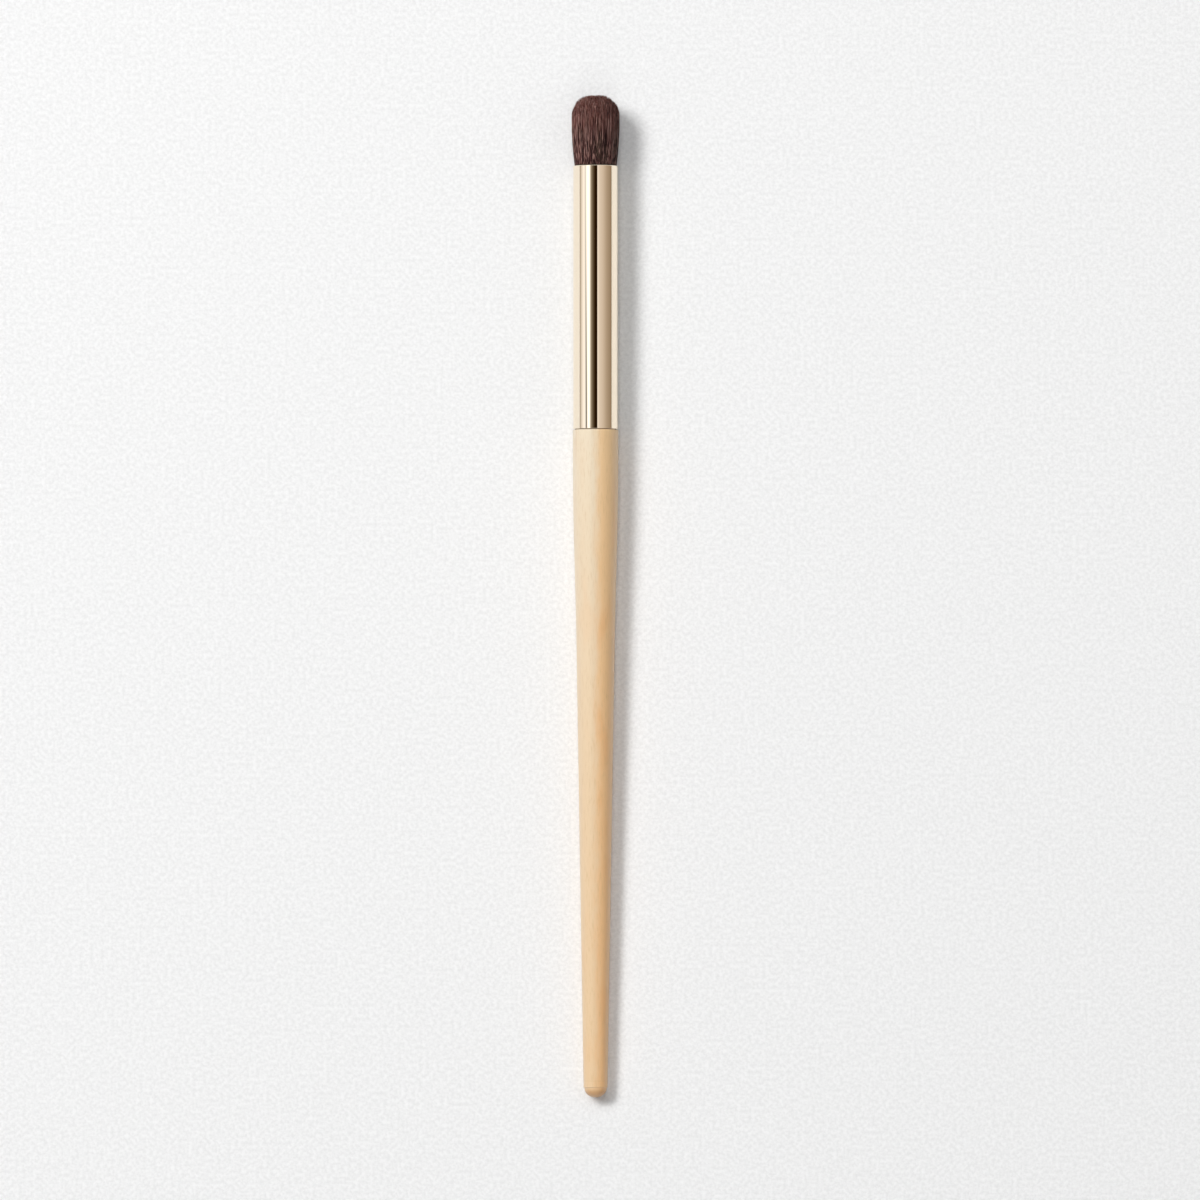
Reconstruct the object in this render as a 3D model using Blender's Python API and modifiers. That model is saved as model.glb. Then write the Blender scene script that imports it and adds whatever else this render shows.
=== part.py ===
"""Blending brush: a domed tuft of dark bristles, a drawn metal ferrule and a turned birch handle.

Every piece is made upright on the brush's own axis, with height zero at the ferrule's mouth, the tuft
above it and the handle below it. The whole brush is then laid on the table, tuft towards +Y, where it
rests on the swell of its handle and on the edge of its butt.
"""

import math
import random

import bmesh
import bpy
from mathutils import Matrix, Vector

MM = 0.001

# Shared by all turned pieces
HANDLE_SIDES = 22  # even, but not a multiple of four, so that a flat side lies under the brush
FERRULE_SIDES = 38  # the same, on the ferrule and on what is cast in its bore
SLIP = 0.05 * MM  # clearance of a piece in the bore or groove that it fills
MERGE_DISTANCE = 0.001 * MM
SHARP_ANGLE = math.radians(35)

# Ferrule: a drawn tube with a rolled mouth
FERRULE_LENGTH = 44.7 * MM
FERRULE_RADIUS = 3.82 * MM
FERRULE_WALL = 0.25 * MM
LIP_RADIUS = 0.14 * MM
LIP_STEPS = 4
FERRULE_END_CHAMFER = 0.08 * MM

# Handle: a shoulder under the ferrule, a swell that eases into a straight taper, and a domed butt
HANDLE_LENGTH = 113.3 * MM  # from the ferrule's end to the tip of the butt
SHOULDER_RADIUS = 3.85 * MM
SHOULDER_EDGE = 0.12 * MM
SEAT_GAP = 0.2 * MM  # the joint line between the ferrule's end and the shoulder
SWELL_LENGTH = 34 * MM
SWELL_STEPS = 10
BUTT_RADIUS = 2.03 * MM
BUTT_HEIGHT = 1.6 * MM
BUTT_STEPS = 5

# Tenon: the end of the handle that goes up into the ferrule, with turned grooves for the glue
TENON_LENGTH = 16 * MM
TENON_RADIUS = 3.25 * MM
TENON_CHAMFER = 0.6 * MM
GROOVE_COUNT = 3
GROOVE_WIDTH = 1.2 * MM
GROOVE_DEPTH = 0.4 * MM
GROOVE_PITCH = 4 * MM
GLUE_MARGIN = 0.8 * MM  # how far the glue stops short of the shoulder and of the tenon's chamfer

# Tuft: strands that leave a packed bundle inside the mouth, belly out and end in a flat dome
TUFT_LENGTH = 12 * MM  # from the mouth to the crown
ROOT_DEPTH = 3 * MM  # how far inside the mouth the strands leave the bundle
BUNDLE_RADIUS = 3.25 * MM
BUNDLE_LENGTH = 9 * MM
BUNDLE_END_RADIUS = 3.1 * MM
BUNDLE_SWIRL = math.radians(20)  # the packing turns this far from the middle to the rim
STRAND_ROWS = 11  # rows of strands from the middle of the bundle to its rim
FLARE_HEIGHT = 3 * MM
FLARE_RADIUS = 3.77 * MM
FLARE_STRAND = 0.29 * MM  # a strand's width there
BELLY_HEIGHT = 7.6 * MM
BELLY_RADIUS = 4.09 * MM
BELLY_STRAND = 0.28 * MM
CROWN_RADIUS = 3.9 * MM
CROWN_STRAND = 0.07 * MM
DOME_DEPTH = 2.6 * MM  # how much shorter the outermost strands are than the middle ones
DOME_POWER = 2.9  # a high power makes the dome flat on top, with tight shoulders
TIP_SCATTER = 0.35 * MM
SWAY_SHARE = 0.3  # how far a strand may stray, of the clear space between strands
SCATTER_SEED = 11

# Binding: a thread wound round a waist in the bundle
THREAD_DIAMETER = 0.36 * MM
THREAD_PITCH = 0.8 * MM
THREAD_TURNS = 3
THREAD_POINTS = 24  # in one turn
WAIST_RADIUS = 2.75 * MM
WAIST_DEPTH = 1.6 * MM  # from the top of the bundle to the waist
WAIST_SLOPE = 0.35 * MM

# Plug: resin cast behind the bundle, which holds the bundle's end in a socket
SOCKET_DEPTH = 1.5 * MM
PLUG_LENGTH = 5 * MM  # behind the socket
MENISCUS_DEPTH = 0.6 * MM
MENISCUS_STEPS = 4

# What follows from the sizes above
BORE_RADIUS = FERRULE_RADIUS - FERRULE_WALL
FERRULE_END = -FERRULE_LENGTH
SHOULDER_HEIGHT = FERRULE_END - SEAT_GAP
BUTT_END = FERRULE_END - HANDLE_LENGTH
BUTT_EDGE = BUTT_END + BUTT_HEIGHT
TAPER_LENGTH = SHOULDER_HEIGHT - BUTT_EDGE
TENON_TOP = FERRULE_END + TENON_LENGTH
BUNDLE_TOP = -ROOT_DEPTH
BUNDLE_END = BUNDLE_TOP - BUNDLE_LENGTH
WAIST_TOP = BUNDLE_TOP - WAIST_DEPTH
WAIST_LENGTH = THREAD_TURNS * THREAD_PITCH + 2 * THREAD_DIAMETER
WINDING_RADIUS = WAIST_RADIUS + SLIP + THREAD_DIAMETER / 2

HEXAGON_SIDES = 6
FLAT_SHARE = math.cos(math.pi / HANDLE_SIDES)  # a flat side's distance from the axis, of its corners'


def clear_scene():
    for thing in list(bpy.data.objects):
        bpy.data.objects.remove(thing)


def finish(name, colour, roughness, metallic=0.0):
    material = bpy.data.materials.new(name)
    material.use_nodes = True
    shader = material.node_tree.nodes["Principled BSDF"]
    shader.inputs["Base Color"].default_value = (*colour, 1.0)
    shader.inputs["Roughness"].default_value = roughness
    shader.inputs["Metallic"].default_value = metallic
    return material


def add_piece(collection, axis, name, data, material):
    piece = bpy.data.objects.new(name, data)
    data.materials.append(material)
    collection.objects.link(piece)
    piece.parent = axis
    return piece


def arc(centre_radius, centre_height, reach, start, end, steps, rise=None):
    """Points (radius, height) on a round or elliptical arc, with its angles in quarter turns."""
    rise = reach if rise is None else rise
    points = []
    for step in range(steps + 1):
        angle = (start + (end - start) * step / steps) * math.pi / 2
        points.append((centre_radius + reach * math.cos(angle), centre_height + rise * math.sin(angle)))
    return points


def turned(collection, axis, name, outline, sides, material, closed=False):
    """A turned piece: an outline that runs down its outer side, spun round the brush's axis."""
    profile = bpy.data.meshes.new(name)
    edges = [(i, i + 1) for i in range(len(outline) - 1)]
    if closed:
        edges.append((len(outline) - 1, 0))
    profile.from_pydata([(radius, 0, height) for radius, height in outline], edges, [])
    piece = add_piece(collection, axis, name, profile, material)
    screw = piece.modifiers.new("Turning", "SCREW")
    screw.steps = sides
    screw.render_steps = sides
    screw.use_merge_vertices = True
    screw.merge_threshold = MERGE_DISTANCE
    solid = bpy.data.meshes.new_from_object(piece.evaluated_get(bpy.context.evaluated_depsgraph_get()))
    piece.modifiers.clear()
    piece.data = solid
    solid.shade_smooth()
    solid.set_sharp_from_angle(angle=SHARP_ANGLE)
    bpy.data.meshes.remove(profile)
    solid.name = name
    return piece


def make_ferrule(collection, axis, material):
    """A straight tube, its mouth rolled into a round lip that stands a little proud of the bore."""
    lip = arc(FERRULE_RADIUS - LIP_RADIUS, -LIP_RADIUS, LIP_RADIUS, 2, 0, LIP_STEPS)
    wall = [
        (FERRULE_RADIUS, FERRULE_END + FERRULE_END_CHAMFER),
        (FERRULE_RADIUS - FERRULE_END_CHAMFER, FERRULE_END),
        (BORE_RADIUS, FERRULE_END),
        (BORE_RADIUS, -2 * LIP_RADIUS),
    ]
    return turned(collection, axis, "ferrule", lip + wall, FERRULE_SIDES, material, closed=True)


def handle_radius(distance):
    """The handle's radius below the shoulder: a straight taper, eased in over the swell."""
    ease = min(distance / SWELL_LENGTH, 1)
    ease = ease * ease * (3 - 2 * ease)
    return SHOULDER_RADIUS - (SHOULDER_RADIUS - BUTT_RADIUS) * ease * distance / TAPER_LENGTH


def taper_outline():
    """Points down the handle, from under the shoulder's edge to the edge of the butt."""
    distances = [SWELL_LENGTH * step / SWELL_STEPS for step in range(1, SWELL_STEPS + 1)]
    points = [(handle_radius(distance), SHOULDER_HEIGHT - distance) for distance in distances]
    return points + [(BUTT_RADIUS, BUTT_EDGE)]


def groove_heights():
    """The middle of each glue groove, spread about the middle of the tenon."""
    middle = (TENON_TOP + SHOULDER_HEIGHT) / 2
    first = middle + GROOVE_PITCH * (GROOVE_COUNT - 1) / 2
    return [first - GROOVE_PITCH * groove for groove in range(GROOVE_COUNT)]


def grooved_side(side_radius, floor_radius, width):
    """Points down the tenon's side, in and out of each groove."""
    points = []
    for height in groove_heights():
        points.append((side_radius, height + width / 2))
        points.append((floor_radius, height + width / 2))
        points.append((floor_radius, height - width / 2))
        points.append((side_radius, height - width / 2))
    return points


def make_handle(collection, axis, material):
    """Tenon, shoulder, swell, taper and butt in one turned piece of wood."""
    tenon = [
        (0, TENON_TOP),
        (TENON_RADIUS - TENON_CHAMFER, TENON_TOP),
        (TENON_RADIUS, TENON_TOP - TENON_CHAMFER),
    ]
    tenon += grooved_side(TENON_RADIUS, TENON_RADIUS - GROOVE_DEPTH, GROOVE_WIDTH)
    shoulder = [
        (TENON_RADIUS, SHOULDER_HEIGHT),
        (SHOULDER_RADIUS - SHOULDER_EDGE, SHOULDER_HEIGHT),
        (SHOULDER_RADIUS, SHOULDER_HEIGHT - SHOULDER_EDGE),
    ]
    butt = arc(0, BUTT_EDGE, BUTT_RADIUS, 0, -1, BUTT_STEPS, rise=BUTT_HEIGHT)
    outline = tenon + shoulder + taper_outline() + butt[1:]
    return turned(collection, axis, "handle", outline, HANDLE_SIDES, material)


def make_tenon_glue(collection, axis, material):
    """The cured film between tenon and ferrule, with a rib in each groove."""
    top = TENON_TOP - TENON_CHAMFER - GLUE_MARGIN
    bottom = SHOULDER_HEIGHT + GLUE_MARGIN
    film_radius = TENON_RADIUS + SLIP
    ribs = grooved_side(film_radius, film_radius - GROOVE_DEPTH, GROOVE_WIDTH - 2 * SLIP)
    outline = [(BORE_RADIUS - SLIP, top), (BORE_RADIUS - SLIP, bottom), (film_radius, bottom)]
    outline += reversed(ribs)
    outline.append((film_radius, top))
    return turned(collection, axis, "tenon_glue", outline, FERRULE_SIDES, material, closed=True)


def make_root_plug(collection, axis, material):
    """Resin that fills the bore behind the bundle, with a socket for it in front and a meniscus behind."""
    side = BORE_RADIUS - SLIP
    socket = BUNDLE_END_RADIUS + SLIP
    floor = BUNDLE_END - SLIP
    end = floor - PLUG_LENGTH
    front = [(0, floor), (socket, floor), (socket, floor + SOCKET_DEPTH), (side, floor + SOCKET_DEPTH)]
    meniscus = arc(0, end, side, 0, 1, MENISCUS_STEPS, rise=MENISCUS_DEPTH)
    return turned(collection, axis, "root_plug", front + meniscus, FERRULE_SIDES, material)


def pack_round(vertices):
    """Make the nested hexagons of the grid into circles, and swirl them so that no rows line up."""
    turn = math.tau / HEXAGON_SIDES
    sides = [Vector((math.cos(turn * side), math.sin(turn * side), 0)) for side in range(HEXAGON_SIDES)]
    for vertex in vertices:
        if vertex.co.length > MERGE_DISTANCE:
            reach = max(vertex.co.dot(side) for side in sides) / math.cos(turn / 2)
            vertex.co *= reach / vertex.co.length
            vertex.co.rotate(Matrix.Rotation(BUNDLE_SWIRL * reach / BUNDLE_RADIUS, 3, "Z"))


def points_right(face):
    """True for every other triangle of the grid, the ones that point along +X."""
    middle = face.calc_center_median().x
    return sum(vertex.co.x > middle for vertex in face.verts) == 1


def add_bundle(grid, rim):
    """The packed roots under the strands: a short cylinder with a waist for the binding."""
    rings = [
        (BUNDLE_RADIUS, WAIST_TOP),
        (WAIST_RADIUS, WAIST_TOP - WAIST_SLOPE),
        (WAIST_RADIUS, WAIST_TOP - WAIST_SLOPE - WAIST_LENGTH),
        (BUNDLE_END_RADIUS, WAIST_TOP - 2 * WAIST_SLOPE - WAIST_LENGTH),
        (BUNDLE_END_RADIUS, BUNDLE_END),
    ]
    for radius, height in rings:
        grown = bmesh.ops.extrude_edge_only(grid, edges=rim)["geom"]
        rim = [part for part in grown if isinstance(part, bmesh.types.BMEdge)]
        for vertex in (part for part in grown if isinstance(part, bmesh.types.BMVert)):
            across = vertex.co.xy.normalized() * radius
            vertex.co = (across.x, across.y, height)
    bmesh.ops.contextual_create(grid, geom=rim)


def grow_strand(grid, root, scatter):
    """One three-sided strand on a triangle of the bundle's top, thinning to its tip."""
    centre = root.calc_center_median()
    offsets = [vertex.co - centre for vertex in root.verts]
    out_share = centre.xy.length / BUNDLE_RADIUS
    root_width = BUNDLE_RADIUS / STRAND_ROWS
    tip_height = TUFT_LENGTH - DOME_DEPTH * out_share**DOME_POWER - scatter.uniform(0, TIP_SCATTER)
    stations = [
        (FLARE_RADIUS, FLARE_HEIGHT, FLARE_STRAND),
        (BELLY_RADIUS, BELLY_HEIGHT, BELLY_STRAND),
        (CROWN_RADIUS, tip_height, CROWN_STRAND),
    ]
    for reach, height, width in stations:
        root = bmesh.ops.extrude_discrete_faces(grid, faces=[root])["faces"][0]
        sway = SWAY_SHARE * (reach / STRAND_ROWS - width)
        across, along = centre.xy * reach / BUNDLE_RADIUS
        middle = Vector((across + scatter.uniform(-sway, sway), along + scatter.uniform(-sway, sway), height))
        for vertex, offset in zip(root.verts, offsets):
            vertex.co = middle + offset * width / root_width


def make_bristle_tuft(collection, axis, material):
    """Hundreds of strands fused to their packed roots: every other triangle of a round grid grows one."""
    grid = bmesh.new()
    bmesh.ops.create_circle(grid, cap_ends=True, cap_tris=True, segments=HEXAGON_SIDES, radius=BUNDLE_RADIUS)
    bmesh.ops.subdivide_edges(grid, edges=grid.edges[:], cuts=STRAND_ROWS - 1, use_grid_fill=True)
    roots = [face for face in grid.faces if points_right(face)]
    rim = [edge for edge in grid.edges if edge.is_boundary]
    pack_round(grid.verts)
    bmesh.ops.translate(grid, verts=grid.verts, vec=(0, 0, BUNDLE_TOP))
    add_bundle(grid, rim)
    scatter = random.Random(SCATTER_SEED)
    for root in roots:
        grow_strand(grid, root, scatter)
    bmesh.ops.recalc_face_normals(grid, faces=grid.faces)
    mesh = bpy.data.meshes.new("bristle_tuft")
    grid.to_mesh(mesh)
    grid.free()
    print(f"Strands in the tuft: {len(roots)}")
    return add_piece(collection, axis, "bristle_tuft", mesh, material)


def winding_points():
    """The thread's middle line: turns down the waist, each end run out straight by one diameter."""
    top = WAIST_TOP - WAIST_SLOPE - (WAIST_LENGTH - THREAD_TURNS * THREAD_PITCH) / 2
    points = []
    for step in range(THREAD_TURNS * THREAD_POINTS + 1):
        turns = step / THREAD_POINTS
        angle = math.tau * turns
        across = (WINDING_RADIUS * math.cos(angle), WINDING_RADIUS * math.sin(angle))
        points.append(Vector((*across, top - THREAD_PITCH * turns)))
    start = points[0] + (points[0] - points[1]).normalized() * THREAD_DIAMETER
    end = points[-1] + (points[-1] - points[-2]).normalized() * THREAD_DIAMETER
    return [start, *points, end]


def least_gap(points):
    """The least clear distance between stretches of the thread that are more than half a turn apart."""
    apart = THREAD_POINTS // 2
    pairs = ((a, b) for i, a in enumerate(points) for b in points[i + apart :])
    return min((a - b).length for a, b in pairs) - THREAD_DIAMETER


def make_root_binding(collection, axis, material):
    """One unbroken thread wound round the bundle's waist."""
    points = winding_points()
    curve = bpy.data.curves.new("root_binding", "CURVE")
    curve.dimensions = "3D"
    curve.bevel_depth = THREAD_DIAMETER / 2
    curve.bevel_resolution = 1
    curve.use_fill_caps = True
    spline = curve.splines.new("POLY")
    spline.points.add(len(points) - 1)
    for target, point in zip(spline.points, points):
        target.co = (*point, 1)
    print(f"Least gap between the turns of the root binding: {least_gap(points) / MM:.2f} mm")
    return add_piece(collection, axis, "root_binding", curve, material)


def rest_tilt():
    """How far the brush leans when it lies on the table, from its butt to the swell of its handle."""
    rises = []
    for radius, height in taper_outline()[:-1]:
        rises.append(math.atan2((radius - BUTT_RADIUS) * FLAT_SHARE, height - BUTT_EDGE))
    return max(rises)


def lay_on_table(axis, pieces):
    """Turn the brush on its side, set it on the table and centre its length over the origin."""
    axis.rotation_euler.x = rest_tilt() - math.pi / 2
    bpy.context.view_layer.update()
    depsgraph = bpy.context.evaluated_depsgraph_get()
    points = []
    for piece in pieces:
        solid = piece.evaluated_get(depsgraph).to_mesh()
        points += [piece.matrix_world @ vertex.co for vertex in solid.vertices]
    front = max(point.y for point in points)
    back = min(point.y for point in points)
    axis.location = (0, -(front + back) / 2, -min(point.z for point in points))


def main():
    clear_scene()
    collection = bpy.data.collections.new("blending_brush")
    bpy.context.scene.collection.children.link(collection)
    axis = bpy.data.objects.new("brush_axis", None)
    collection.objects.link(axis)
    birch = finish("birch", (0.73, 0.53, 0.31), 0.38)
    champagne = finish("champagne_metal", (0.83, 0.70, 0.52), 0.12, metallic=1.0)
    filament = finish("dark_filament", (0.065, 0.030, 0.027), 0.45)
    resin = finish("amber_resin", (0.55, 0.38, 0.16), 0.25)
    wood_glue = finish("dried_glue", (0.70, 0.60, 0.40), 0.35)
    thread = finish("waxed_thread", (0.75, 0.72, 0.66), 0.7)
    pieces = [
        make_handle(collection, axis, birch),
        make_ferrule(collection, axis, champagne),
        make_bristle_tuft(collection, axis, filament),
        make_root_plug(collection, axis, resin),
        make_root_binding(collection, axis, thread),
        make_tenon_glue(collection, axis, wood_glue),
    ]
    lay_on_table(axis, pieces)


main()
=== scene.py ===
"""The looks of a blending brush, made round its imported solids, on paper and in a soft studio light.

The file is laid out as a Blender add-on and is run as a script. Every piece is made upright on the
brush's own axis, with height zero at the ferrule's mouth, the tuft above it and the handle below it.
It is then laid down as the solids lie: on the swell of the handle and on its thin butt.
"""

import math
import random

import bmesh
import bpy
from bpy.props import FloatProperty, FloatVectorProperty, IntProperty, PointerProperty
from mathutils import Matrix, Vector
from mathutils.kdtree import KDTree


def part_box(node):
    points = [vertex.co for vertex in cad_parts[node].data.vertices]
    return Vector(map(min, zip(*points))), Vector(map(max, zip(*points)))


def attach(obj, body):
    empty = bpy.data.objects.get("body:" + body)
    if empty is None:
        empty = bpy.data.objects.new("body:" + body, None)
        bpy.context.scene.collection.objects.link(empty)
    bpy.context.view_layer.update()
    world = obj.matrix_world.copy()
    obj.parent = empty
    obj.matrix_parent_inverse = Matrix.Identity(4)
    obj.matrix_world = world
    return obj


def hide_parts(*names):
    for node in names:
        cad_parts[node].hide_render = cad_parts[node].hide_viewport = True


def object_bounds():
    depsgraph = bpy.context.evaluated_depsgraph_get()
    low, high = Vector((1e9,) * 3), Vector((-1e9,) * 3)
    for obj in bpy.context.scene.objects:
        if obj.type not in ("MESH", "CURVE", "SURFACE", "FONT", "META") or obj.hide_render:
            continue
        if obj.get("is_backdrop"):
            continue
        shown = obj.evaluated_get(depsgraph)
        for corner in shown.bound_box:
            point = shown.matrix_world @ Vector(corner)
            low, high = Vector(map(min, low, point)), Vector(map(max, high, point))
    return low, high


bl_info = {
    "name": "Blending Brush",
    "version": (1, 0, 0),
    "blender": (4, 5, 0),
    "location": "3D View > Sidebar > Brush",
    "description": "Gives a blending brush its birch handle, mirror ferrule and full tuft, on white paper",
    "category": "Object",
}

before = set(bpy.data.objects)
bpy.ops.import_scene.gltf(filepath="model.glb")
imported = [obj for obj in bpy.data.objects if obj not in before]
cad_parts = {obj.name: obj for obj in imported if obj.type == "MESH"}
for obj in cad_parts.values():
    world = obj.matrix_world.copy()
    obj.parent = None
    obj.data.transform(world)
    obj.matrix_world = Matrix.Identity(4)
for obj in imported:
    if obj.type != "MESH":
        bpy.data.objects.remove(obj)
solid_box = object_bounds()

MM = 0.001
MERGE_DISTANCE = 0.0005 * MM
SHARP_ANGLE = math.radians(35)


def lie_of_brush():
    """The brush's own frame, laid as the solids lie: origin in the ferrule's mouth, +Z to the tuft."""
    butt = min((vertex.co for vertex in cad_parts["handle"].data.vertices), key=lambda point: point.y)
    low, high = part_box("ferrule")
    along = ((low + high) / 2 - butt).normalized()
    mouth = max((vertex.co - butt).dot(along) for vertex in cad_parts["ferrule"].data.vertices)
    turn = Matrix.Rotation(math.asin(along.z) - math.pi / 2, 4, "X")
    return Matrix.Translation(butt + along * mouth) @ turn


LIE = lie_of_brush()
STAND = LIE.inverted()


def measure(node):
    """A solid's lowest and highest point along the brush's axis, and its greatest distance from the axis."""
    points = [STAND @ vertex.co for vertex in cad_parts[node].data.vertices]
    heights = [point.z for point in points]
    return min(heights), max(heights), max(point.xy.length for point in points)


FERRULE_END, MOUTH, FERRULE_RADIUS = measure("ferrule")
BUTT_END, TENON_TOP, SHOULDER_RADIUS = measure("handle")
BUNDLE_END, TUFT_TOP, _ = measure("bristle_tuft")


def length(name, description, millimetres):
    return FloatProperty(
        name=name, description=description, default=millimetres * MM, min=0.0, precision=6, unit="LENGTH"
    )


def offset(name, description, millimetres):
    return FloatProperty(
        name=name, description=description, default=millimetres * MM, precision=6, unit="LENGTH"
    )


def offsets(name, description, first, last):
    ends = (first * MM, last * MM)
    return FloatVectorProperty(
        name=name, description=description, default=ends, size=2, precision=6, unit="LENGTH"
    )


def share(name, description, value):
    return FloatProperty(name=name, description=description, default=value, min=0.0, max=1.0)


def shares(name, description, first, last):
    return FloatVectorProperty(
        name=name, description=description, default=(first, last), size=2, min=0.0, max=1.0
    )


def count(name, description, value):
    return IntProperty(name=name, description=description, default=value, min=1)


def colour(name, description, value):
    return FloatVectorProperty(
        name=name, description=description, default=value, size=3, min=0.0, max=1.0, subtype="COLOR"
    )


def angle(name, description, degrees):
    return FloatProperty(name=name, description=description, default=math.radians(degrees), unit="ROTATION")


def angles(name, description, first, last):
    ends = (math.radians(first), math.radians(last))
    return FloatVectorProperty(name=name, description=description, default=ends, size=2, unit="ROTATION")


class HandleSettings(bpy.types.PropertyGroup):
    """Sizes and colours of the turned birch handle"""

    sides: count("Sides", "Steps round the handle", 96)
    seat_gap: length("Seat Gap", "Joint line between the ferrule's end and the shoulder", 0.13)
    shoulder_edge: length("Shoulder Edge", "Radius of the shoulder's rounded edge", 0.12)
    swell_length: length("Swell Length", "Stretch over which the taper eases in", 34)
    butt_radius: length("Butt Radius", "Radius where the taper ends", 2.03)
    butt_height: length("Butt Height", "Height of the rounded end", 1.6)
    butt_step: length("Butt Step", "How far the rounded end stands back inside the lacquered side", 0.14)
    coat_height: length("Lacquer Edge Height", "Height of the faint edge of the last coat of lacquer", 2.8)
    coat_line: length("Lacquer Edge Width", "Half the width of that edge", 0.12)
    tenon_radius: length("Tenon Radius", "Radius of the tenon inside the ferrule", 3.25)
    tenon_chamfer: length("Tenon Chamfer", "Bevel at the tenon's end", 0.6)
    groove_count: count("Grooves", "Glue grooves round the tenon", 3)
    groove_width: length("Groove Width", "Width of a glue groove", 1.2)
    groove_depth: length("Groove Depth", "Depth of a glue groove", 0.4)
    groove_pitch: length("Groove Pitch", "From one glue groove to the next", 4)
    # Painted light: the side towards the key lamp is painted lighter and less saturated, as a painted
    # highlight, and the side away from it warmer, as painted shade.
    painted_lit_side: colour("Pale Side", "Wood of the pale side at the shoulder", (0.80, 0.68, 0.51))
    painted_lit_butt: colour("Pale Side at the Butt", "Wood of the pale side at the butt", (0.78, 0.56, 0.34))
    painted_shaded_side: colour("Warm Side", "Wood of the warm side at the shoulder", (0.83, 0.57, 0.31))
    painted_shaded_butt: colour("Warm Side at the Butt", "Wood of the warm side at the butt", (0.83, 0.50, 0.24))
    painted_light_edge: offset("Side Edge", "Where the sides meet, sideways from the brush's axis", 0.25)
    painted_light_blur: length("Side Blur", "Half the width over which the sides run into each other", 1.0)
    fleck: colour("Flecks", "Darker flecks in the grain", (0.60, 0.40, 0.20))
    glow: colour("Glow", "Orange tinge of the soft patches", (0.80, 0.44, 0.19))
    # Darker and more orange over the rounded end.
    butt_tone: colour("End Grain", "Wood of the rounded end, which took up more lacquer", (0.62, 0.32, 0.12))
    fleck_width: length("Fleck Width", "Width of a fleck in the grain", 0.2)
    fleck_length: length("Fleck Length", "Length of a fleck in the grain", 1.6)
    patch_length: length("Patch Length", "Length of a warm patch", 9)
    grain_height: length("Grain Height", "Height of the grain under the lacquer", 0.004)
    roughness: share("Roughness", "Roughness of the wood", 0.42)
    lacquer: share("Lacquer", "Weight of the lacquer over the wood", 0.4)
    lacquer_roughness: share("Lacquer Roughness", "Roughness of the satin lacquer", 0.22)


class FerruleSettings(bpy.types.PropertyGroup):
    """Sizes and colours of the drawn metal ferrule"""

    sides: count("Sides", "Steps round the ferrule", 160)
    wall: length("Wall", "Thickness of the tube", 0.25)
    lip_radius: length("Lip Radius", "Radius of the mouth's rounded edge", 0.14)
    end_edge: length("End Edge", "Radius of the edge at the handle's end", 0.05)
    metal: colour("Metal", "Champagne-gold metal", (0.98, 0.86, 0.69))
    roughness: share("Roughness", "Roughness of the polished metal", 0.03)
    line_width: length("Draw Line Width", "Width of the faint lines that run along the tube", 0.12)
    smudge_width: length("Smudge Width", "Width of a faint smudge", 3)


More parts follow.
